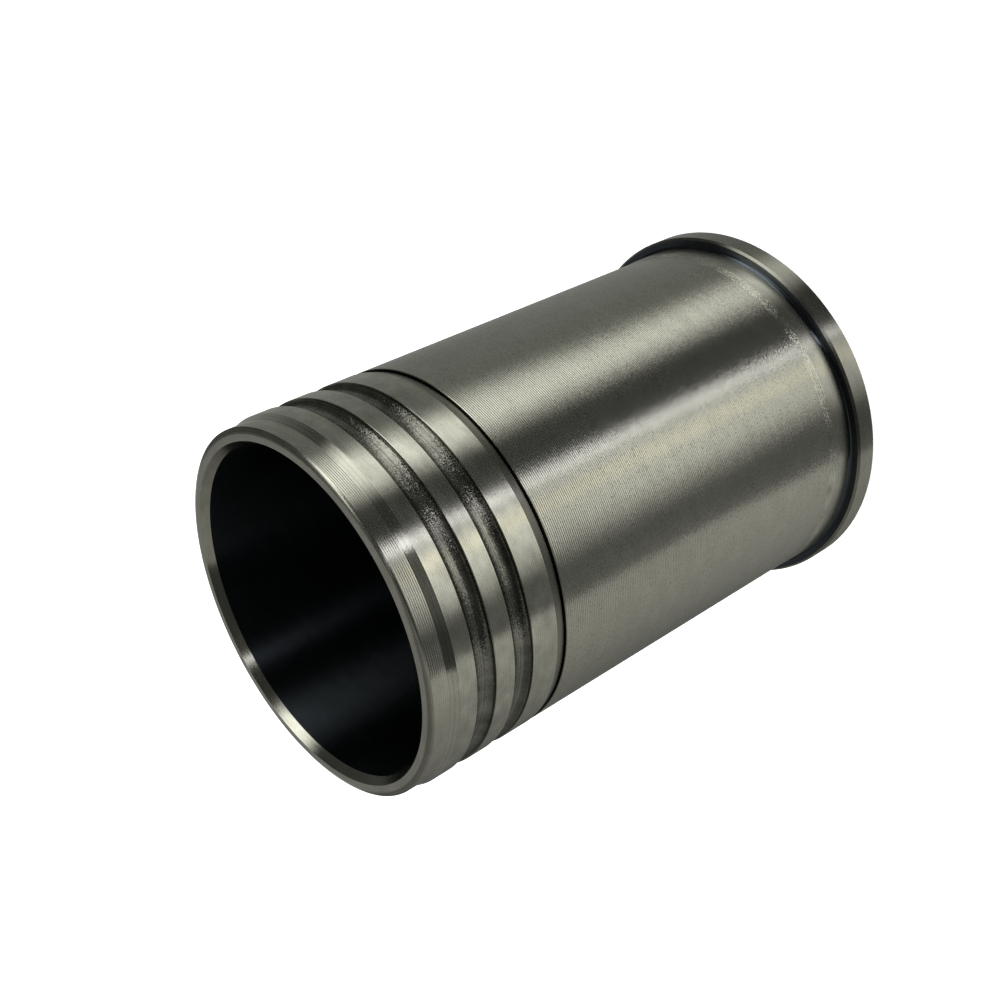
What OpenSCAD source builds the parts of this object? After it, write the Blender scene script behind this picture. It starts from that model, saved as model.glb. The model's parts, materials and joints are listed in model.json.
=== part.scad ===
// Wet cylinder liner, turned from one casting.
// It stands on its flange: the flange face is at z = 0 and the skirt end is at the top.

/* [Bore] */
// Diameter of the finished bore
bore_d = 100; // [80:0.5:120]
// Width of the bevel at the skirt end of the bore, measured across the wall
bore_bevel_w = 1.7; // [0.5:0.1:3]
// Height of that bevel, along the bore
bore_bevel_h = 2.4; // [0.5:0.1:6]
// Edge break of the bore at the flange face
bore_break = 0.5; // [0.2:0.1:2]

/* [Body] */
// Overall height, from the flange face to the skirt end
liner_h = 178.4; // [140:0.1:260]
// Wall thickness of the plain body
wall = 6.35; // [5.6:0.05:12]

/* [Flange] */
// Height of the flange
flange_h = 7.5; // [4:0.1:16]
// Reach of the flange past the body
flange_reach = 3.55; // [2.8:0.05:10]
// Edge break on the seat side of the flange
flange_break = 0.7; // [0.2:0.1:1]
// Edge break on the face side of the flange
face_break = 0.3; // [0.1:0.1:1.5]

/* [Upper pilot] */
// Height of the pilot that centres the liner under the flange
pilot_h = 7.4; // [4:0.1:20]
// Step of the pilot above the body, on the radius
pilot_step = 0.25; // [0.1:0.05:1]
// Height of the ramp from the body up to the pilot
pilot_ramp_h = 2.9; // [0.5:0.1:8]
// Root radius of the undercut in the corner under the flange
undercut_r = 1.4; // [0.8:0.1:1.6]
// Depth of the undercut below the pilot
undercut_depth = 0.45; // [0.2:0.05:0.7]
// Height of the undercut, from the flange seat
undercut_h = 1.15; // [0.8:0.05:3]

/* [Seal lands] */
// Step of the ground lands above the body, on the radius
land_step = 0.1; // [0.05:0.05:0.5]
// Height of the land nearest the skirt end
land_1_h = 5.9; // [3:0.1:12]
// Height of the land between the two grooves
land_2_h = 6.6; // [3:0.1:12]
// Height of the land nearest the body
land_3_h = 8.8; // [3:0.1:16]
// Edge break on the edges of the grooves and of the body
land_break = 0.25; // [0.1:0.05:0.6]

/* [Ring grooves] */
// Width of each sealing ring groove
groove_h = 6.5; // [4:0.1:10]
// Depth of each groove
groove_depth = 2.5; // [1.5:0.1:3.9]
// Radius in the bottom corners of each groove
groove_root_r = 2.2; // [0.3:0.1:2.4]

/* [Relief] */
// Height of the tapered relief between the lands and the body
relief_h = 3.55; // [2:0.1:8]
// Depth of the relief below the body, at the body's edge
relief_depth = 0.95; // [0.4:0.05:2]

/* [Skirt end] */
// Height of the turned lead-in, from the skirt end to the foot of its ramp
lead_h = 6; // [3:0.1:15]
// Step of the lead-in below the lands, on the radius
lead_step = 0.95; // [0.3:0.05:2]
// Height of the ramp from the lead-in to the first land
lead_ramp_h = 2.75; // [1:0.05:8]
// Edge break around the outside of the skirt end
end_break = 0.9; // [0.3:0.1:1.2]
// Radius that blends that edge break into the skirt end
end_round = 2.8; // [0.5:0.1:4]

/* [Hidden] */
$fn = 180;

bore_r = bore_d / 2;
body_r = bore_r + wall;
pilot_r = body_r + pilot_step;
flange_r = body_r + flange_reach;
land_r = body_r + land_step;
lead_r = land_r - lead_step;
groove_floor_r = land_r - groove_depth;
groove_corner_r = min(groove_root_r, groove_depth - land_break, 0.45 * groove_h);
undercut_floor_r = pilot_r - undercut_depth;

// The blend at the skirt end keeps within its edge break and the flat of the wall
end_corner_r = lead_r - end_break;
end_flat = end_corner_r - bore_r - bore_bevel_w;
end_blend_reach = min(end_round * tan(22.5), 0.95 * sqrt(2) * end_break, 0.95 * end_flat);
end_blend_r = end_blend_reach / tan(22.5);

// Heights of the shoulders from the flange up
undercut_top_z = flange_h + undercut_h;
pilot_top_z = flange_h + pilot_h;
pilot_ramp_top_z = pilot_top_z + pilot_ramp_h;

// Heights of the shoulders from the skirt end down
lead_foot_z = liner_h - lead_h;
land_1_top_z = lead_foot_z - lead_ramp_h;
groove_1_z = land_1_top_z - land_1_h - groove_h;
groove_2_z = groove_1_z - land_2_h - groove_h;
relief_top_z = groove_2_z - land_3_h;
relief_foot_z = relief_top_z - relief_h;

// What a cutter reaches past the surface that it cuts
past = 1;

// What the circle of the end's blend reaches past the faces it runs into, so that it crosses them cleanly
blend_lap = 0.0003;

// Half section of the blank, from the flange face up to the skirt end
module outline() {
    polygon([
        [0, 0],
        [flange_r - face_break, 0],
        [flange_r, face_break],
        [flange_r, flange_h - flange_break],
        [flange_r - flange_break, flange_h],
        [undercut_floor_r, flange_h],
        [undercut_floor_r, undercut_top_z],
        [pilot_r, undercut_top_z],
        [pilot_r, pilot_top_z],
        [body_r, pilot_ramp_top_z],
        [body_r, relief_foot_z - land_break],
        [body_r - land_break, relief_foot_z],
        [body_r - relief_depth, relief_foot_z],
        [land_r, relief_top_z],
        [land_r, land_1_top_z],
        [lead_r, lead_foot_z],
        [lead_r, liner_h - end_break],
        [end_corner_r, liner_h],
        [0, liner_h]
    ]);
}

// Metal left in the corner under the flange, rounded like the nose of the turning tool
module undercut_root() {
    difference() {
        translate([undercut_floor_r, flange_h])
            square([undercut_r, min(undercut_r, undercut_h)]);
        translate([undercut_floor_r + undercut_r, flange_h + undercut_r])
            circle(undercut_r);
    }
}

// Metal turned off the skirt end, so that its edge break runs into the end in one curve
module end_blend() {
    foot = end_blend_reach * cos(45);
    translate([end_corner_r, liner_h])
        difference() {
            polygon([
                [-end_blend_reach, 0],
                [-end_blend_reach, past],
                [foot + past, past - foot],
                [foot, -foot]
            ]);
            translate([-end_blend_reach, -end_blend_r])
                circle(end_blend_r + blend_lap);
        }
}

// Sealing ring groove with round bottom corners and broken edges, its lower side at z = 0
module ring_groove() {
    root_x = groove_floor_r + groove_corner_r;
    mouth_r = land_r + past;
    for (z = [groove_corner_r, groove_h - groove_corner_r])
        translate([root_x, z]) circle(groove_corner_r);
    translate([groove_floor_r, groove_corner_r])
        square([mouth_r - groove_floor_r, groove_h - 2 * groove_corner_r]);
    translate([root_x, 0])
        square([mouth_r - root_x, groove_h]);
    polygon([
        [land_r - land_break, 0],
        [mouth_r, -land_break - past],
        [mouth_r, groove_h + land_break + past],
        [land_r - land_break, groove_h]
    ]);
}

// Bore with its bevel at the skirt end and its edge break at the flange face
module bore() {
    polygon([
        [0, -past],
        [bore_r + bore_break + past, -past],
        [bore_r, bore_break],
        [bore_r, liner_h - bore_bevel_h],
        [bore_r + bore_bevel_w, liner_h],
        [bore_r + bore_bevel_w, liner_h + past],
        [0, liner_h + past]
    ]);
}

// Whole liner: its half section turned about the axis
module cylinder_liner() {
    color([0.52, 0.52, 0.47])
        rotate_extrude()
            difference() {
                union() {
                    outline();
                    undercut_root();
                }
                bore();
                end_blend();
                for (z = [groove_1_z, groove_2_z])
                    translate([0, z]) ring_groove();
            }
}

cylinder_liner();
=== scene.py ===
import json
import math

import bpy
import numpy as np
from mathutils import Matrix, Vector


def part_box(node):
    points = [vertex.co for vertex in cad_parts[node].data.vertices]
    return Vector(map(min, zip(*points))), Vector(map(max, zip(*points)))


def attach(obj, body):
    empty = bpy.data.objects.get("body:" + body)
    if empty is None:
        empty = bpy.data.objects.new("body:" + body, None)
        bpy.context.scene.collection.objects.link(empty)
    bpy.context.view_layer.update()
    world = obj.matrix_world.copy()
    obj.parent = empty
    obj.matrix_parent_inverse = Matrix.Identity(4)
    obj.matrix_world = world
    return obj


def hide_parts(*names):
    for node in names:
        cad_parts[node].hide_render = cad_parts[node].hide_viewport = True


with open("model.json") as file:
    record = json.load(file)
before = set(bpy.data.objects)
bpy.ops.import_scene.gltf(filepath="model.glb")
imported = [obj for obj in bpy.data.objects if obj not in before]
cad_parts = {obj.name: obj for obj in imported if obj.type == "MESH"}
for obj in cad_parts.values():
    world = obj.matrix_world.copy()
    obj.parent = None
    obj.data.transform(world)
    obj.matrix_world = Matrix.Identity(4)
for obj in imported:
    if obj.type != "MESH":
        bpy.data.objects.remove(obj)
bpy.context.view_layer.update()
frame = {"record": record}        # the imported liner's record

bl_info = {
    "name": "Cylinder liner",
    "version": (1, 0, 0),
    "blender": (4, 5, 0),
    "location": "3D View > Sidebar > Liner",
    "description": "Builds the finished surface of a wet cylinder liner and a studio to see it in",
    "category": "Object",
}

NODE = "cylinder_liner"
BODY = "root"
MM = 0.001
FLOAT = "NodeSocketFloat"

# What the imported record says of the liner's interfaces
MOUNTS = {mount["name"]: mount for mount in frame["record"]["mounts"]}
HIGH_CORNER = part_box(NODE)[1]

# The liner's surface
COLUMNS = 384                              # round the axis
CHAMFER_TURN = 45                          # degrees between a chamfer and the faces beside it
CORNER_DEPTH, CORNER_HEIGHT = 0.8, 0.15    # the relief's dark corner, painted shade, ends at these shares of its size

# A turning line takes one feed, and its steep side has STEEP_SHARE of that. On the long side, with q going
# from 0 to 1, the metal drops by DROP_START q + DROP_BEND q^2 of the line's height.
STEEP_SHARE = 0.32
DROP_START, DROP_BEND = 0.25, 0.75

# Noise on the cut surfaces
RADIUS_SHARE = 1.3                   # of the radius, added to the height as the way along the section
STREAK_REACH = 2.0                   # how far the streaks' noise goes round the axis
STREAK_DETAIL = 3.0
CLOUD_STRETCH = (4.0, 4.0, 220.0)
WORN_LINES = 0.18                    # share of their lean that worn lines keep
WORN_GRAIN = 2.5                     # times the grain where the lines would be worn away
CLOUD_RANGE = (0.3, 0.7)             # noise from the darkest to the lightest smear
PIT_RANGE = (0.3, 0.42)              # noise from the floor of a pit to its edge
QUARTER_TURN = 0.25

# The stage, in metres
FLOOR_RADIUS, PAD_RADIUS, DOME_RADIUS = 4, 0.054, 6
FLOOR_DROP, PAD_DROP = 0.0002, 0.0001    # below the flange face
DISC_POINTS = 96
LAMP_SIZE = 0.9
LAMPS = (("left_lamp", (0.7, -0.5, 1.1)), ("right_lamp", (-0.8, -0.3, 1.0)), ("back_lamp", (0.1, 0.9, 1.2)))
SENSOR_WIDTH = 36                        # in millimetres
NEAREST_SEEN = 0.01


def mount_radius(name):
    """Radius of a round mount, in metres."""
    return MOUNTS[name]["dims"]["r_mm"] * MM


def mount_top(name):
    """Height of the upper end of a round mount's wall, in metres."""
    mount = MOUNTS[name]
    return mount["pos_m"][2] + mount["dims"]["length_mm"] * MM / 2


# Property helpers


def length(name, description, default):
    """A length in metres, shown in the scene's unit."""
    return bpy.props.FloatProperty(
        name=name, description=description, default=default, min=0, precision=5, subtype="DISTANCE",
        unit="LENGTH")


def share(name, description, default):
    """A share from 0 to 1."""
    return bpy.props.FloatProperty(
        name=name, description=description, default=default, min=0, max=1, subtype="FACTOR")


def tilt(name, description, default):
    """An angle. Its default is written in degrees and kept in radians."""
    return bpy.props.FloatProperty(
        name=name, description=description, default=math.radians(default), subtype="ANGLE", unit="ROTATION")


def level(name, description, default):
    """A brightness, where 1 is white."""
    return bpy.props.FloatProperty(name=name, description=description, default=default, min=0, max=20)


def colour(name, description, default):
    """A linear colour from 0 to 1."""
    return bpy.props.FloatVectorProperty(
        name=name, description=description, default=default, size=3, min=0, max=1, subtype="COLOR")


class LinerSizes(bpy.types.PropertyGroup):
    """Sizes of the liner's section, from the flange face at height 0 up to the skirt end."""

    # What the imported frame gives
    height: length("Height", "Flange face to skirt end", HIGH_CORNER.z)
    bore_radius: length("Bore radius", "Finished bore", mount_radius("piston_bore"))
    land_radius: length("Land radius", "Ground seal lands", mount_radius("skirt_land"))
    pilot_radius: length("Pilot radius", "Pilot under the flange", mount_radius("upper_pilot"))
    flange_radius: length("Flange radius", "Rim of the flange", min(HIGH_CORNER.x, HIGH_CORNER.y))
    flange_height: length("Flange height", "Flange face to seat", MOUNTS["flange_seat"]["pos_m"][2])
    first_land_top: length("First land top", "Height where the first land ends", mount_top("skirt_land"))
    # What the frame doesn't give
    body_radius: length("Body radius", "Plain turned body", 56.35 * MM)
    pilot_top: length("Pilot top", "Height where the pilot ends", 14.9 * MM)
    lead_radius: length("Lead-in radius", "Turned lead-in at the skirt end", 55.5 * MM)
    lead_foot: length("Lead-in foot", "Height where the lead-in meets its ramp", 172.4 * MM)
    groove_height: length("Groove width", "Width of a ring groove along the bore", 6.5 * MM)
    groove_depth: length("Groove depth", "Depth of a ring groove below the lands", 2.5 * MM)
    first_land: length("First land", "Height of the land nearest the skirt end", 5.9 * MM)
    second_land: length("Second land", "Height of the land between the grooves", 6.6 * MM)
    third_land: length("Third land", "Height of the land nearest the body", 8.8 * MM)
    edge_round: length("Edge round", "Round on the edges of lands, grooves and body", 0.25 * MM)
    relief_height: length("Relief height", "Height of the tapered relief under the lands", 3.55 * MM)
    relief_depth: length("Relief depth", "Depth of the relief below the body", 0.95 * MM)
    end_chamfer: length("End chamfer", "Chamfer around the outside of the skirt end", 0.9 * MM)
    end_round: length("End round", "Radius that blends the chamfer into the end face", 2.8 * MM)
    bevel_width: length("Bevel width", "Bore bevel, across the wall", 1.7 * MM)
    bevel_height: length("Bevel height", "Bore bevel, along the bore", 2.4 * MM)
    bore_break: length("Bore edge break", "Edge break of the bore at the flange face", 0.5 * MM)
    pilot_ramp: length("Pilot ramp", "Height of the ramp from the body to the pilot", 2.9 * MM)
    undercut_height: length("Undercut height", "Height of the undercut above the seat", 1.15 * MM)
    undercut_radius: length("Undercut radius", "Root radius of the undercut", 1.4 * MM)
    undercut_depth: length("Undercut depth", "Depth of the undercut below the pilot", 0.45 * MM)
    seat_chamfer: length("Seat chamfer", "Chamfer on the seat side of the flange", 0.7 * MM)
    face_chamfer: length("Face chamfer", "Chamfer on the face side of the flange", 0.3 * MM)
    feed: length("Feed", "Distance between two turning lines", 0.675 * MM)
    ridge: length("Ridge height", "Height of the turning ridges on the lead-in", 0.065 * MM)


class LinerFinish(bpy.types.PropertyGroup):
    """Colours and textures of the liner's surfaces."""

    iron: colour("Iron", "Turned cast iron", (0.52, 0.52, 0.44))
    # Half the iron's brightness: partly the rough cut groove floor's own tone, partly painted shade in the
    # grooves
    dark_iron: colour("Dark iron", "Rough cut floor of the grooves", (0.24, 0.24, 0.208))
    # Near black: painted shade in the undercut and on the seat under the pilot
    blue_iron: colour("Blue iron", "Burnished undercut and seat", (0.085, 0.098, 0.11))
    # Near black: painted shade inside the bore
    honed: colour("Honed iron", "Honed bore", (0.085, 0.10, 0.112))
    roughness: share("Roughness", "Roughness of the turned surfaces", 0.205)
    drawn_out: share("Anisotropy", "How far highlights are drawn out along the bore", 0.76)


class StudioSettings(bpy.types.PropertyGroup):
    """Camera, light and floor."""

    camera_distance: length("Camera distance", "From the bore axis, level", 366.9 * MM)
    camera_height: length("Camera height", "Above the flange face", 348.8 * MM)
    aim_height: length("Aim height", "Where the camera's middle meets the liner's middle plane", 102.5 * MM)
    aim_side: length("Aim side", "The same point, sideways", 4.8 * MM)
    camera_roll: tilt("Camera roll", "Turn of the camera about its own line of sight", 116.37)
    lens: bpy.props.FloatProperty(
        name="Lens", description="Focal length", default=52.164, min=1, unit="CAMERA")
    room: level("Room light", "Light that the room gives to matt surfaces", 0.55)
    floor: colour("Floor", "Pale floor", (0.84, 0.84, 0.84))
    floor_lift: level("Floor lift", "Brightness added to the floor as the camera sees it", 0.57)
    lamp: bpy.props.FloatProperty(
        name="Lamp power", description="Each soft lamp", default=9, min=0, unit="POWER")


# The liner's half section


class Section:
    """A closed half section, drawn as a chain of steps. A step joins two rows, with a normal at each end."""

    def __init__(self, radius, height):
        self.rows = [(radius, height)]
        self.normals = []
        self.finishes = []

    def step(self, radius, height, finish, normals):
        self.rows.append((radius, height))
        self.normals.append(normals)
        self.finishes.append(finish)

    def line(self, radius, height, finish, steps=1):
        """Straight to a point. The normal is the direction of travel turned a quarter to the right."""
        start = np.array(self.rows[-1])
        travel = np.array((radius, height)) - start
        normal = np.array((travel[1], -travel[0])) / np.hypot(*travel)
        for part in np.linspace(0, 1, steps + 1)[1:]:
            self.step(*(start + part * travel), finish, (normal, normal))

    def arc(self, centre, radius, start, end, finish, steps=4):
        """Round a centre from one angle to another, in degrees: counter-clockwise at edges, back at roots."""
        side = 1 if end > start else -1
        angles = np.radians(np.linspace(start, end, steps + 1))
        spokes = np.stack([np.cos(angles), np.sin(angles)], axis=1)
        for before, after in zip(spokes, spokes[1:]):
            self.step(*(np.array(centre) + radius * after), finish, (side * before, side * after))

    def bowl(self, centre, depth, half_height, finish, steps):
        """Half an ellipse cut into the metal, upwards: (x, z) = centre + (-depth cos t, half height sin t),
        with t from -90 to 90 degrees. The normal is (cos t / depth, -sin t / half height), made unit long."""
        turn = np.radians(np.linspace(-90, 90, steps + 1))
        points = np.array(centre) + np.stack([-depth * np.cos(turn), half_height * np.sin(turn)], axis=1)
        normals = np.stack([np.cos(turn) / depth, -np.sin(turn) / half_height], axis=1)
        normals /= np.linalg.norm(normals, axis=1)[:, None]
        for index in range(steps):
            self.step(*points[index + 1], finish, (normals[index], normals[index + 1]))

    def ridges(self, height, feed, ridge, finish, facets=(4, 2)):
        """Up a cylinder in turned ridges. Over the long side of a ridge, with q from 0 to 1, the radius drops
        by ridge (DROP_START q + DROP_BEND q^2). Over the steep side it comes straight back. The facets are
        the steps on either side."""
        radius, start = self.rows[-1]
        count = max(1, round((height - start) / feed))
        pitch = (height - start) / count
        long_side = (1 - STEEP_SHARE) * pitch
        q = np.linspace(0, 1, facets[0] + 1)
        back = np.linspace(1, 0, facets[1] + 1)
        rise = np.concatenate([long_side * q, pitch - STEEP_SHARE * pitch * back[1:]])
        drop = ridge * np.concatenate([DROP_START * q + DROP_BEND * q * q, back[1:]])
        lean_down = np.array((1, -ridge / (STEEP_SHARE * pitch)))
        slope = DROP_START + 2 * DROP_BEND * q
        leans_up = np.stack([np.ones_like(q), ridge * slope / long_side], axis=1)
        for turn in range(count):
            for index in range(1, len(rise)):
                on_long_side = index <= facets[0]
                pair = (leans_up[index - 1], leans_up[index]) if on_long_side else (lean_down, lean_down)
                self.step(radius - drop[index], start + turn * pitch + rise[index], finish,
                          tuple(lean / np.linalg.norm(lean) for lean in pair))


def groove(section, top, size):
    """A ring groove below a land, drawn upwards: edge, bowl, edge. The bowl is half an ellipse."""
    land, bottom, edge = size.land_radius, top - size.groove_height, size.edge_round
    middle, half_height = (bottom + top) / 2, size.groove_height / 2
    section.arc((land - edge, bottom - edge), edge, 0, 90, "ground")
    section.bowl((land - edge, middle), size.groove_depth - edge, half_height, "rough", steps=28)
    section.arc((land - edge, top + edge), edge, -90, 0, "ground")


def liner_section(size):
    """The liner's section: up the outside, over the skirt end, down the bore and across the flange face."""
    land, body, pilot, rim = size.land_radius, size.body_radius, size.pilot_radius, size.flange_radius
    edge, top = size.edge_round, size.height
    first_groove_top = size.first_land_top - size.first_land
    second_groove_top = first_groove_top - size.groove_height - size.second_land
    lands_foot = second_groove_top - size.groove_height - size.third_land
    relief_foot = lands_foot - size.relief_height
    seat, root = size.flange_height, size.undercut_radius
    root_x = pilot - size.undercut_depth + root
    undercut_top = seat + size.undercut_height
    root_turn = math.degrees(math.acos(1 - size.undercut_height / root))

    section = Section(rim - size.face_chamfer, 0)
    section.line(rim, size.face_chamfer, "faced")
    section.line(rim, seat - size.seat_chamfer, "rim", steps=3)
    section.line(rim - size.seat_chamfer, seat, "seat edge")
    section.line(root_x, seat, "seat", steps=2)
    section.arc((root_x, seat + root), root, -90, -90 - root_turn, "burnished", steps=10)
    section.line(pilot, undercut_top, "burnished")
    section.line(pilot, size.pilot_top, "pilot", steps=4)
    section.line(body, size.pilot_top + size.pilot_ramp, "mottled", steps=3)
    section.line(body, relief_foot - edge, "turned", steps=40)
    section.arc((body - edge, relief_foot - edge), edge, 0, 90, "turned")
    # Painted shade: the relief's deepest corner has iron a tenth as bright
    section.line(body - size.relief_depth, relief_foot, "corner")
    section.line(body - CORNER_DEPTH * size.relief_depth, relief_foot + CORNER_HEIGHT * size.relief_height,
                 "corner")
    section.line(land, lands_foot, "relief", steps=3)
    section.line(land, second_groove_top - size.groove_height - edge, "ground", steps=4)
    groove(section, second_groove_top, size)
    section.line(land, first_groove_top - size.groove_height - edge, "ground", steps=4)
    groove(section, first_groove_top, size)
    section.line(land, size.first_land_top, "ground", steps=4)
    section.line(size.lead_radius, size.lead_foot, "ramp", steps=3)
    section.ridges(top - size.end_chamfer, size.feed, size.ridge, "turned_lead")
    # The round takes the same length of the chamfer as of the end
    reach = size.end_round * math.tan(math.radians(CHAMFER_TURN / 2))
    slant = reach * math.sqrt(0.5)
    corner = size.lead_radius - size.end_chamfer
    section.line(corner + slant, top - slant, "faced")
    section.arc((corner - reach, top - size.end_round), size.end_round, CHAMFER_TURN, 90, "faced", steps=12)
    section.line(size.bore_radius + size.bevel_width, top, "faced", steps=3)
    section.line(size.bore_radius, top - size.bevel_height, "bevel", steps=3)
    section.line(size.bore_radius, size.bore_break, "honed", steps=24)
    section.line(size.bore_radius + size.bore_break, 0, "faced")
    section.line(rim - size.face_chamfer, 0, "faced", steps=4)
    return section


def revolved_mesh(name, section, around, finishes):
    """Turns the section about Z: point (i, j) is (r cos a, r sin a, z), with r and z of row i and
    a = 2 pi (j + 1/2) / around."""
    rows = np.array(section.rows[:-1])
    normals = np.array(section.normals)
    count = len(rows)
    turn = 2 * np.pi * (np.arange(around) + 0.5) / around
    direction = np.stack([np.cos(turn), np.sin(turn)], axis=1)
    points = np.empty((count, around, 3))
    points[..., :2] = rows[:, None, :1] * direction[None]
    points[..., 2] = rows[:, None, 1]

    row, column = np.meshgrid(np.arange(count), np.arange(around), indexing="ij")
    row_after, column_after = (row + 1) % count, (column + 1) % around
    corner_rows = np.stack([row, row, row_after, row_after], axis=-1)
    corner_columns = np.stack([column, column_after, column_after, column], axis=-1)
    corners = (corner_rows * around + corner_columns).reshape(-1)

    ends = np.array([0, 0, 1, 1])
    corner_normals = normals[row[..., None], ends]
    spokes = direction[corner_columns]
    corner_normals = np.concatenate([corner_normals[..., :1] * spokes, corner_normals[..., 1:]], axis=-1)

    reach = np.concatenate([[0], np.cumsum(np.linalg.norm(np.diff(np.array(section.rows), axis=0), axis=1))])
    place_around = (column[..., None] + np.array([0, 1, 1, 0])) / around
    place_along = reach[row[..., None] + ends] / reach[-1]

    mesh = bpy.data.meshes.new(name)
    mesh.vertices.add(count * around)
    mesh.vertices.foreach_set("co", points.reshape(-1).astype(np.float32))
    mesh.loops.add(len(corners))
    mesh.loops.foreach_set("vertex_index", corners.astype(np.int32))
    mesh.polygons.add(count * around)
    mesh.polygons.foreach_set("loop_start", np.arange(0, len(corners), 4, dtype=np.int32))
    slots = np.array([finishes.index(finish) for finish in section.finishes], dtype=np.int32)
    mesh.polygons.foreach_set("material_index", np.repeat(slots, around))
    layer = mesh.uv_layers.new(name="section")
    places = np.stack([place_around, place_along], axis=-1)
    layer.uv.foreach_set("vector", places.reshape(-1).astype(np.float32))
    mesh.update(calc_edges=True)
    mesh.validate()
    mesh.shade_smooth()
    mesh.normals_split_custom_set(corner_normals.reshape(-1, 3).tolist())
    return mesh


# Shader node groups


class Nodes:
    """Adds nodes to a tree and joins them, so that a material reads as a list of steps."""

    def __init__(self, tree):
        self.tree = tree

    def add(self, kind, settings=None, **inputs):
        """A new node with its settings and inputs. An input is a value, or a socket to join to. It is named
        with _ for each space, or by its number after a _."""
        node = self.tree.nodes.new(kind)
        for key, value in (settings or {}).items():
            setattr(node, key, value)
        for key, value in inputs.items():
            self.put(node.inputs[int(key[1:]) if key[1:].isdigit() else key.replace("_", " ")], value)
        return node

    def put(self, socket, value):
        """Sets an input to a value, or joins a socket to it."""
        if isinstance(value, bpy.types.NodeSocket):
            self.tree.links.new(value, socket)
        else:
            socket.default_value = value

    def math(self, operation, *values):
        """Maths on numbers and sockets."""
        node = self.tree.nodes.new("ShaderNodeMath")
        node.operation = operation
        for socket, value in zip(node.inputs, values):
            self.put(socket, value)
        return node.outputs[0]

    def vector(self, operation, *values):
        """Vector maths. A plain number as the last value goes to the scale."""
        node = self.tree.nodes.new("ShaderNodeVectorMath")
        node.operation = operation
        if operation == "SCALE":
            self.put(node.inputs[0], values[0])
            self.put(node.inputs["Scale"], values[1])
        else:
            for socket, value in zip(node.inputs, values):
                self.put(socket, value)
        return node.outputs[1 if operation in ("LENGTH", "DOT_PRODUCT") else 0]

    def streaks(self, vector):
        """Noise from 0 to 1."""
        return self.add("ShaderNodeTexNoise", Vector=vector, Scale=1.0, Detail=STREAK_DETAIL).outputs[0]


def bare_nodes(holder):
    """Gives a material or a world an empty tree, and returns what fills it."""
    holder.use_nodes = True
    holder.node_tree.nodes.clear()
    return Nodes(holder.node_tree)


def new_group(name, inputs, outputs):
    """A shader node group with named inputs, as (kind, default), and named outputs, as a kind."""
    tree = bpy.data.node_groups.new(name, "ShaderNodeTree")
    for label, (kind, default) in inputs.items():
        tree.interface.new_socket(label, in_out="INPUT", socket_type=kind).default_value = default
    for label, kind in outputs.items():
        tree.interface.new_socket(label, in_out="OUTPUT", socket_type=kind)
    return tree, tree.nodes.new("NodeGroupInput").outputs, tree.nodes.new("NodeGroupOutput").inputs


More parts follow.
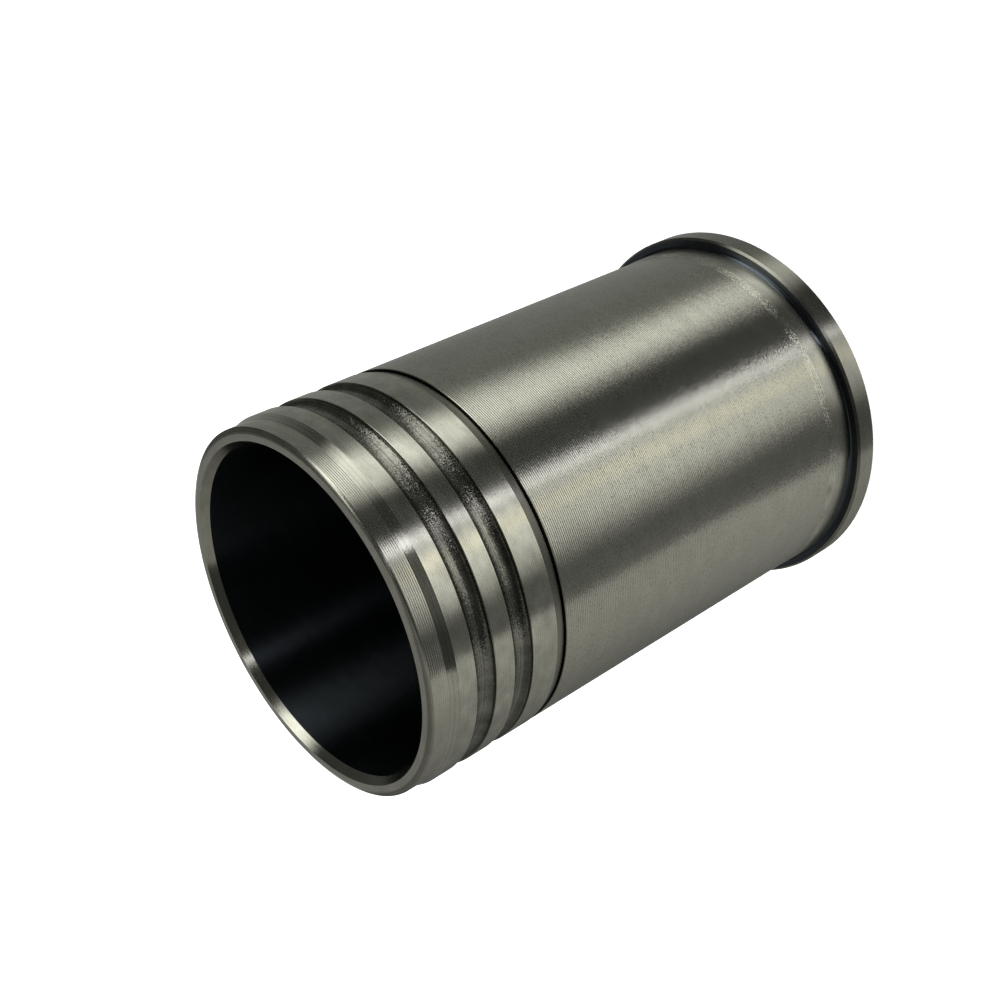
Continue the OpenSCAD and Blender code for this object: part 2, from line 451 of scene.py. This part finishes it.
def lathe_group():
    """Marks that a lathe leaves. The phase is the way along the section over the feed, plus the turn round
    the axis, so the lines are one fine helix. Each line has a long side that leans up more and more and a
    short steep side that leans down. The normal also leans by noise drawn out round the axis, and every way
    by fine grain. The lines are worn faint below one height, where the grain is stronger, and crisp above
    another. Shade is painted light and shade on the lines, low on the steep sides and higher on the long
    sides, with the streaks' noise added. Cloud is a slow smear and Speckle is fine pits."""
    tree, given, out = new_group("lathe marks", {
        "Feed": (FLOAT, 0.000675), "Ridge Lean": (FLOAT, 0.1), "Scratch Lean": (FLOAT, 0.1),
        "Scratch Scale": (FLOAT, 4000.0), "Grain Lean": (FLOAT, 0.05), "Grain Scale": (FLOAT, 2500.0),
        "Worn Height": (FLOAT, -2.0), "Crisp Height": (FLOAT, -1.0)},
        {"Normal": "NodeSocketVector", "Shade": FLOAT, "Cloud": FLOAT, "Speckle": FLOAT})
    n = Nodes(tree)
    place = n.add("ShaderNodeTexCoord").outputs["Object"]
    split = n.add("ShaderNodeSeparateXYZ", Vector=place).outputs
    level_place = n.add("ShaderNodeCombineXYZ", X=split["X"], Y=split["Y"]).outputs[0]
    radius = n.vector("LENGTH", level_place)
    along = n.math("ADD", split["Z"], n.math("MULTIPLY", radius, RADIUS_SHARE))
    turn = n.math("DIVIDE", n.math("ARCTAN2", split["Y"], split["X"]), 2 * math.pi)
    crisp = n.add("ShaderNodeMapRange", Value=split["Z"], From_Min=given["Worn Height"],
                  From_Max=given["Crisp Height"], To_Min=WORN_LINES, To_Max=1.0).outputs[0]

    around = n.vector("SCALE", n.vector("NORMALIZE", level_place), STREAK_REACH)
    streak_place = n.vector("ADD", around, n.add("ShaderNodeCombineXYZ", Z=along).outputs[0])
    stretch = n.add("ShaderNodeCombineXYZ", X=1.0, Y=1.0, Z=given["Scratch Scale"]).outputs[0]
    scratch = n.streaks(n.vector("MULTIPLY", streak_place, stretch))
    cloud = n.streaks(n.vector("MULTIPLY", streak_place, CLOUD_STRETCH))

    phase = n.math("ADD", n.math("DIVIDE", along, given["Feed"]), turn)
    place_in_line = n.math("DIVIDE", n.math("FRACT", phase), 1 - STEEP_SHARE)
    steep = n.math("GREATER_THAN", place_in_line, 1.0)
    slope = n.math("ADD", n.math("MULTIPLY", place_in_line, 2 * DROP_BEND), DROP_START)
    rise = n.math("MULTIPLY", slope, STEEP_SHARE / (1 - STEEP_SHARE))
    side = n.math("SUBTRACT", n.math("MULTIPLY", n.math("SUBTRACT", 1.0, steep), rise), steep)
    side = n.math("MULTIPLY", side, crisp)

    grain = n.add("ShaderNodeTexNoise", Vector=place, Scale=given["Grain Scale"], Detail=1.0)
    grain_split = n.add("ShaderNodeSeparateXYZ", Vector=grain.outputs["Color"]).outputs
    grain_growth = n.math("SUBTRACT", WORN_GRAIN, n.math("MULTIPLY", crisp, WORN_GRAIN - 1))
    grain_lean = n.math("MULTIPLY", given["Grain Lean"], grain_growth)
    lean_along = n.math("ADD", n.math("MULTIPLY", side, given["Ridge Lean"]),
                        n.math("MULTIPLY", n.math("SUBTRACT", scratch, 0.5), given["Scratch Lean"]))
    lean_along = n.math("ADD", lean_along,
                        n.math("MULTIPLY", n.math("SUBTRACT", grain_split["X"], 0.5), grain_lean))
    lean_around = n.math("MULTIPLY", n.math("SUBTRACT", grain_split["Y"], 0.5), grain_lean)

    flat = n.add("ShaderNodeNewGeometry").outputs["Normal"]
    round_axis = n.vector("NORMALIZE", n.vector("CROSS_PRODUCT", (0.0, 0.0, 1.0), place))
    along_section = n.vector("CROSS_PRODUCT", flat, round_axis)
    leaning = n.vector("ADD", flat, n.vector("SCALE", along_section, lean_along))
    leaning = n.vector("ADD", leaning, n.vector("SCALE", round_axis, lean_around))
    n.put(out["Normal"], n.vector("NORMALIZE", leaning))
    # Shade: painted shade on the steep sides of the lines, painted light on their long sides, plus streak
    # noise
    n.put(out["Shade"], n.math("ADD", n.math("MULTIPLY", side, 0.5), scratch))
    n.put(out["Cloud"], cloud)
    n.put(out["Speckle"], grain_split["Z"])
    return tree


def iron_material(name, group, base, roughness, drawn_out, marks, contrast=0.1, cloud=0.1, speck=0.8):
    """Cut iron: a metal whose highlights are drawn out along the section, across the marks that go round the
    axis. Contrast and cloud lighten and darken the base colour by that share, and speck is what pits keep.
    Through contrast, the base colour carries the lines' painted light and shade."""
    material = bpy.data.materials.new(name)
    n = bare_nodes(material)
    lathe = n.add("ShaderNodeGroup", {"node_tree": group})
    for key, value in marks.items():
        lathe.inputs[key].default_value = value
    # The lines' painted light and shade, with the streaks, in the base colour
    shade = n.add("ShaderNodeMapRange", Value=lathe.outputs["Shade"], To_Min=1 - contrast,
                  To_Max=1 + contrast)
    smear = n.add("ShaderNodeMapRange", Value=lathe.outputs["Cloud"], From_Min=CLOUD_RANGE[0],
                  From_Max=CLOUD_RANGE[1], To_Min=1 - cloud, To_Max=1 + cloud)
    pits = n.add("ShaderNodeMapRange", Value=lathe.outputs["Speckle"], From_Min=PIT_RANGE[0],
                 From_Max=PIT_RANGE[1], To_Min=speck, To_Max=1.0)
    shares = n.math("MULTIPLY", n.math("MULTIPLY", shade.outputs[0], smear.outputs[0]), pits.outputs[0])
    tangent = n.add("ShaderNodeTangent", {"direction_type": "RADIAL", "axis": "Z"}).outputs[0]
    shader = n.add("ShaderNodeBsdfPrincipled", Base_Color=n.vector("SCALE", tuple(base), shares),
                   Metallic=1.0, Roughness=roughness, Normal=lathe.outputs["Normal"], Tangent=tangent,
                   Anisotropic=drawn_out, Anisotropic_Rotation=QUARTER_TURN)
    n.add("ShaderNodeOutputMaterial", Surface=shader.outputs[0])
    return material


def times(tint, factor):
    """A colour made brighter or darker."""
    return tuple(factor * part for part in tint)


def liner_materials(finish, sizes):
    """One material for each finish, in the order of the mesh's slots."""
    group = lathe_group()
    iron, dark, blue, honed = finish.iron, finish.dark_iron, finish.blue_iron, finish.honed
    # The tenth of the iron is painted shade in the relief's corner
    dull, dimmer, painted_shade = times(iron, 0.75), times(iron, 0.6), times(iron, 0.1)
    rough, drawn = finish.roughness, finish.drawn_out
    fine = {"Feed": sizes.feed, "Ridge Lean": 0.0, "Scratch Lean": 0.06, "Scratch Scale": 5000.0,
            "Grain Lean": 0.05, "Grain Scale": 3000.0}
    lined = {**fine, "Ridge Lean": 0.28, "Grain Lean": 0.08, "Grain Scale": 2600.0,
             "Worn Height": 0.035, "Crisp Height": 0.125}
    coarse = {**fine, "Scratch Lean": 0.10, "Grain Lean": 0.42, "Grain Scale": 2600.0}
    mottled = {**fine, "Grain Lean": 0.5, "Grain Scale": 3200.0}
    # Finish: material, colour, roughness, how far drawn out, marks, and what differs from the usual contrasts
    looks = {
        "turned": ("turned_iron", iron, rough, drawn, lined, {"cloud": 0.05, "speck": 0.62}),
        "turned_lead": ("turned_lead_in", iron, 0.9 * rough, drawn, fine, {}),
        "ground": ("ground_iron", iron, rough, drawn, fine, {"contrast": 0.12, "cloud": 0.2}),
        "pilot": ("pilot_iron", iron, 1.25 * rough, drawn, fine, {"cloud": 0.15}),
        "rim": ("flange_rim_iron", dull, rough, drawn, fine, {"contrast": 0.12}),
        "ramp": ("lead_ramp_iron", iron, 0.8 * rough, drawn, fine, {}),
        # Painted shade: the relief, a shallow recess, is darkened to six tenths of the iron
        "relief": ("relief_iron", dimmer, 0.3, drawn, fine, {}),
        # Painted shade in the relief's corner
        "corner": ("shaded_corner_iron", painted_shade, rough, drawn, fine, {}),
        "mottled": ("mottled_ramp_iron", iron, rough, drawn, mottled,
                    {"contrast": 0.2, "cloud": 0.3, "speck": 0.35}),
        "faced": ("faced_iron", iron, rough, drawn, fine, {"contrast": 0.15}),
        "bevel": ("bevel_iron", iron, 0.8 * rough, drawn, fine, {}),
        # Painted shade: the seat and the undercut are near black under the pilot
        "seat": ("seat_iron", blue, 0.3, 0.5, fine, {}),
        "seat edge": ("seat_edge_iron", dimmer, 0.25, drawn, fine, {}),
        # Painted shade in the undercut
        "burnished": ("burnished_iron", blue, 0.45 * rough, 0.5, fine, {}),
        # Partly the groove floor's own tone, partly painted shade in the grooves
        "rough": ("rough_cut_iron", dark, 0.2, 0.6, coarse, {"contrast": 0.25, "cloud": 0.35, "speck": 0.5}),
        # Painted shade inside the bore
        "honed": ("honed_iron", honed, 0.3, 0.96, fine, {}),
    }
    return {key: iron_material(name, group, *look, **contrasts)
            for key, (name, *look, contrasts) in looks.items()}


# The studio


DOME_STEPS = (361, 181)

# The bare dome: how white it is below the first height and above the second, in degrees
BARE_HEIGHTS, BARE_LEVELS = (-5, 15), (1, 0.25)

# What the iron mirrors, painted on the dome in this order. A card is a soft upright band, with the width of
# its two soft edges and its tone. Its rows give, at a height in degrees, its left and right edge as azimuths
# (0 is towards the camera) and its level at either edge.
CARDS = (
    ("left_wall", (9, 9), (0.98, 1.0, 0.96), (
        (-80, -165, -60, 0.03, 0.03), (-62, -165, -60, 0.05, 0.04), (-55, -165, -60, 0.14, 0.08),
        (-49, -165, -60, 0.28, 0.16), (-30, -165, -60, 0.29, 0.15),
        (-12, -165, -60, 0.28, 0.13), (0, -165, -60, 0.08, 0.03),
        (40, -165, -60, 0.08, 0.03), (70, -165, -60, 0.08, 0.05))),
    ("right_wall", (6, 9), (1.0, 1.0, 0.96), (
        (-80, 60, 165, 0.05, 0.05), (-62, 68, 165, 0.08, 0.08), (-55, 72, 165, 0.24, 0.12),
        (-49, 74, 165, 0.50, 0.10), (-42, 70, 165, 0.50, 0.10), (-35, 62, 165, 0.48, 0.08),
        (-12, 62, 165, 0.48, 0.08), (0, 62, 165, 0.40, 0.08), (40, 66, 165, 0.28, 0.10),
        (70, 68, 165, 0.25, 0.10))),
    ("front_dark", (3, 3), (1.0, 1.0, 1.0), (
        (-75, -62, 61, 0.03, 0.06), (-55, -62, 70, 0.05, 0.13), (-49, -62, 74, 0.045, 0.13),
        (-42, -62, 70, 0.045, 0.14), (-35, -62, 62, 0.045, 0.15), (-12, -62, 62, 0.045, 0.13),
        (0, -62, 62, 0.045, 0.04), (40, -62, 66, 0.04, 0.04), (70, -62, 68, 0.04, 0.05))),
    ("window", (20, 22), (1.0, 1.0, 0.98), (
        (-80, -86, -54, 0.08, 0.08), (-62, -82, -54, 0.08, 0.10), (-54, -80, -54, 0.25, 0.32),
        (-48, -77, -53, 0.68, 0.75), (-42, -74, -51, 1.15, 1.2), (-34, -71, -48, 1.3, 1.4),
        (-29, -71, -47, 1.1, 1.35), (-20, -74, -46.5, 1.5, 1.7), (0, -74, -45, 1.2, 1.5),
        (40, -88, -50, 1.8, 1.8), (58, -110, -82, 1.8, 1.8), (68, -120, -91, 1.5, 1.5),
        (74, -120, -95, 0.2, 0.2), (90, -120, -95, 0.1, 0.1))),
    ("front_floor", (12, 26), (1.0, 1.0, 0.98), (
        (-80, -6, 30, 0.15, 0.15), (-62, -6, 30, 0.30, 0.25), (-56, -6, 30, 0.5, 0.45),
        (-50, -6, 30, 0.85, 0.7), (-40, -6, 30, 1.0, 0.8), (-30, -6, 30, 1.2, 0.98),
        (-18, -6, 30, 1.2, 0.98), (-8, -6, 30, 0.8, 0.7), (0, -6, 30, 0.10, 0.15),
        (40, -6, 30, 0.05, 0.05), (80, -6, 30, 0.04, 0.04))),
    ("warm_tube", (5, 5), (1.04, 1.0, 0.90), (
        (-80, 1, 9, 0.1, 0.1), (-62, 1, 9, 0.2, 0.2), (-56, 1, 9, 0.6, 0.6), (-50, 1, 9, 1.0, 1.0),
        (-40, 1, 9, 1.15, 1.15), (-30, 1, 9, 1.4, 1.4), (-18, 1, 9, 1.35, 1.35), (-8, 1, 9, 0.6, 0.6),
        (0, 1, 9, 0.10, 0.10), (80, 1, 9, 0.04, 0.04))),
    ("strip_lamp", (8, 4), (1.02, 1.0, 1.07), (
        (-80, -14, -7, 0.6, 0.6), (-62, -14, -7, 1.1, 1.1), (-54, -14, -7, 1.1, 1.1),
        (-48, -14, -7, 1.15, 1.15), (-38, -14, -7, 1.7, 1.7), (-30, -14, -7, 1.6, 1.6),
        (-20, -14, -7, 1.6, 1.6), (0, -14, -7, 1.8, 1.8), (30, -13, -7, 2.0, 2.0),
        (45, -13, -7, 1.5, 1.5), (60, -14, -8, 0.9, 0.9), (80, -14, -8, 0.6, 0.6))),
)


def smooth_step(place):
    """0 up to place -0.5, 1 from place 0.5, and a smooth rise between them."""
    rise = np.clip(place + 0.5, 0, 1)
    return rise * rise * (3 - 2 * rise)


def dome_colours(azimuth, height):
    """The dome's colour: white low down and grey above, under each card's tone times its level, which runs
    from edge to edge of the card."""
    colours = np.ones((*azimuth.shape, 3)) * np.interp(height, BARE_HEIGHTS, BARE_LEVELS)[..., None]
    for _, soft, tone, rows in CARDS:
        heights, lefts, rights, left_levels, right_levels = np.array(rows, dtype=float).T
        left, right = np.interp(height, heights, lefts), np.interp(height, heights, rights)
        cover = smooth_step((azimuth - left) / soft[0]) * smooth_step((right - azimuth) / soft[1])
        across = np.clip((azimuth - left) / (right - left), 0, 1)
        left_level = np.interp(height, heights, left_levels)
        right_level = np.interp(height, heights, right_levels)
        painted = ((1 - across) * left_level + across * right_level)[..., None] * np.array(tone)
        colours += cover[..., None] * (painted - colours)
    return colours


def dome_mesh(name, radius, middle):
    """A sphere round the liner, with point (u, v) at azimuth -180 + 360 u and height -90 + 180 v degrees."""
    u, v = np.meshgrid(np.linspace(0, 1, DOME_STEPS[0]), np.linspace(0, 1, DOME_STEPS[1]), indexing="xy")
    azimuth, height = -180 + 360 * u, -90 + 180 * v
    around, up = np.radians(azimuth), np.radians(height)
    spokes = np.stack([-np.sin(around) * np.cos(up), -np.cos(around) * np.cos(up), np.sin(up)], axis=-1)
    points = radius * spokes
    points[..., 2] += middle
    index = np.arange(u.size).reshape(u.shape)
    faces = np.stack([index[:-1, :-1], index[:-1, 1:], index[1:, 1:], index[1:, :-1]], axis=-1).reshape(-1, 4)
    mesh = bpy.data.meshes.new(name)
    mesh.from_pydata(points.reshape(-1, 3).tolist(), [], faces.tolist())
    layer = mesh.color_attributes.new("glow", "FLOAT_COLOR", "POINT")
    colours = np.concatenate([dome_colours(azimuth, height), np.ones((*u.shape, 1))], axis=-1)
    layer.data.foreach_set("color", colours.reshape(-1).astype(np.float32))
    return mesh


def dome_material():
    """The dome glows at the colour of its points."""
    material = bpy.data.materials.new("studio_dome")
    material.cycles.emission_sampling = "NONE"
    n = bare_nodes(material)
    glow = n.add("ShaderNodeAttribute", {"attribute_name": "glow"}).outputs["Color"]
    n.add("ShaderNodeOutputMaterial", Surface=n.add("ShaderNodeEmission", Color=glow).outputs[0])
    return material


def seen_background(n):
    """1 for the rays that show the background: to the camera, off a gloss or through glass."""
    rays = n.add("ShaderNodeLightPath").outputs
    seen = n.math("MAXIMUM", rays["Is Camera Ray"], rays["Is Glossy Ray"])
    return n.math("MAXIMUM", seen, rays["Is Transmission Ray"])


def white_world(room):
    """White wherever it is seen, and a plain room light for matt surfaces."""
    world = bpy.data.worlds.new("studio_world")
    n = bare_nodes(world)
    strength = n.add("ShaderNodeMapRange", Value=seen_background(n), To_Min=room, To_Max=1.0).outputs[0]
    light = n.add("ShaderNodeBackground", Color=(1, 1, 1, 1), Strength=strength).outputs[0]
    n.add("ShaderNodeOutputWorld", Surface=light)
    bpy.context.scene.world = world


def floor_material(tint, lift):
    """A matt floor, lifted to white where it is seen, that keeps its shadows."""
    material = bpy.data.materials.new("studio_floor")
    n = bare_nodes(material)
    matt = n.add("ShaderNodeBsdfDiffuse", Color=(*tint, 1)).outputs[0]
    glow = n.add("ShaderNodeEmission", Color=(1, 1, 1, 1),
                 Strength=n.math("MULTIPLY", seen_background(n), lift)).outputs[0]
    both = n.add("ShaderNodeAddShader", _0=matt, _1=glow).outputs[0]
    n.add("ShaderNodeOutputMaterial", Surface=both)
    return material


def link(name, data):
    """A new object in the scene."""
    item = bpy.data.objects.new(name, data)
    bpy.context.scene.collection.objects.link(item)
    return item


def disc(name, radius, height):
    """A flat disc at a height: its rim points are at equal turns about Z."""
    turn = np.linspace(0, 2 * np.pi, DISC_POINTS, endpoint=False)
    points = np.stack([radius * np.cos(turn), radius * np.sin(turn), np.full_like(turn, height)], axis=1)
    mesh = bpy.data.meshes.new(name)
    mesh.from_pydata(points.tolist(), [], [list(range(len(turn)))])
    return link(name, mesh)


def plain_material(name, tint):
    """Matt, in one colour."""
    material = bpy.data.materials.new(name)
    n = bare_nodes(material)
    matt = n.add("ShaderNodeBsdfDiffuse", Color=(*tint, 1)).outputs[0]
    n.add("ShaderNodeOutputMaterial", Surface=matt)
    return material


def aim(item, place, target, roll=0):
    """Puts a camera or lamp in place, looks at the target and rolls about that line."""
    place, target = Vector(place), Vector(target)
    look = (target - place).to_track_quat("-Z", "Y")
    item.matrix_world = Matrix.Translation(place) @ look.to_matrix().to_4x4() @ Matrix.Rotation(roll, 4, "Z")


class LINER_OT_liner(bpy.types.Operator):
    """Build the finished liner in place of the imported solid"""

    bl_idname = "liner.build"
    bl_label = "Liner"

    def execute(self, context):
        section = liner_section(context.scene.liner_sizes)
        materials = liner_materials(context.scene.liner_finish, context.scene.liner_sizes)
        mesh = revolved_mesh("liner", section, COLUMNS, list(materials))
        for material in materials.values():
            mesh.materials.append(material)
        piece = link("liner", mesh)
        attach(piece, BODY)
        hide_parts(NODE)
        return {"FINISHED"}


class LINER_OT_studio(bpy.types.Operator):
    """Build the floor, the background, the dome, the lamps and the camera"""

    bl_idname = "liner.studio"
    bl_label = "Studio"

    def execute(self, context):
        scene, studio = context.scene, context.scene.liner_studio
        scene.view_settings.view_transform = "Standard"
        white_world(studio.room)
        floor = disc("studio_floor", FLOOR_RADIUS, -FLOOR_DROP)
        floor.data.materials.append(floor_material(studio.floor, studio.floor_lift))
        floor.visible_glossy = False
        # A black disc under the liner: painted shade on the floor inside the bore
        pad = disc("studio_pad", PAD_RADIUS, -PAD_DROP)
        pad.data.materials.append(plain_material("studio_felt", (0.01, 0.01, 0.01)))
        dome = link("studio_dome", dome_mesh("studio_dome", DOME_RADIUS, HIGH_CORNER.z / 2))
        dome.data.materials.append(dome_material())
        dome.visible_camera = dome.visible_diffuse = dome.visible_shadow = dome.visible_transmission = False
        for name, place in LAMPS:
            lamp = bpy.data.lights.new(name, "AREA")
            lamp.shape, lamp.size, lamp.energy = "DISK", LAMP_SIZE, studio.lamp
            item = link(name, lamp)
            item.visible_glossy = False
            aim(item, place, (0, 0, HIGH_CORNER.z / 2))
        camera = bpy.data.cameras.new("camera")
        camera.lens, camera.sensor_width, camera.clip_start = studio.lens, SENSOR_WIDTH, NEAREST_SEEN
        item = link("camera", camera)
        aim(item, (0, -studio.camera_distance, studio.camera_height), (studio.aim_side, 0, studio.aim_height),
            -studio.camera_roll)
        scene.camera = item
        return {"FINISHED"}


class LINER_PT_sidebar(bpy.types.Panel):
    """Lists what builds the liner and its studio"""

    bl_idname = "LINER_PT_sidebar"
    bl_label = "Cylinder liner"
    bl_space_type = "VIEW_3D"
    bl_region_type = "UI"
    bl_category = "Liner"

    def draw(self, context):
        for operator in (LINER_OT_liner, LINER_OT_studio):
            self.layout.operator(operator.bl_idname)
        for group in (context.scene.liner_sizes, context.scene.liner_finish, context.scene.liner_studio):
            box = self.layout.box()
            for name in group.__annotations__:
                box.prop(group, name)


CLASSES = (LinerSizes, LinerFinish, StudioSettings, LINER_OT_liner, LINER_OT_studio, LINER_PT_sidebar)


def register():
    for item in CLASSES:
        bpy.utils.register_class(item)
    bpy.types.Scene.liner_sizes = bpy.props.PointerProperty(type=LinerSizes)
    bpy.types.Scene.liner_finish = bpy.props.PointerProperty(type=LinerFinish)
    bpy.types.Scene.liner_studio = bpy.props.PointerProperty(type=StudioSettings)


def unregister():
    for name in ("liner_sizes", "liner_finish", "liner_studio"):
        delattr(bpy.types.Scene, name)
    for item in reversed(CLASSES):
        bpy.utils.unregister_class(item)


def main():
    """Builds everything."""
    register()
    bpy.ops.liner.build()
    bpy.ops.liner.studio()


if __name__ == "__main__":
    main()
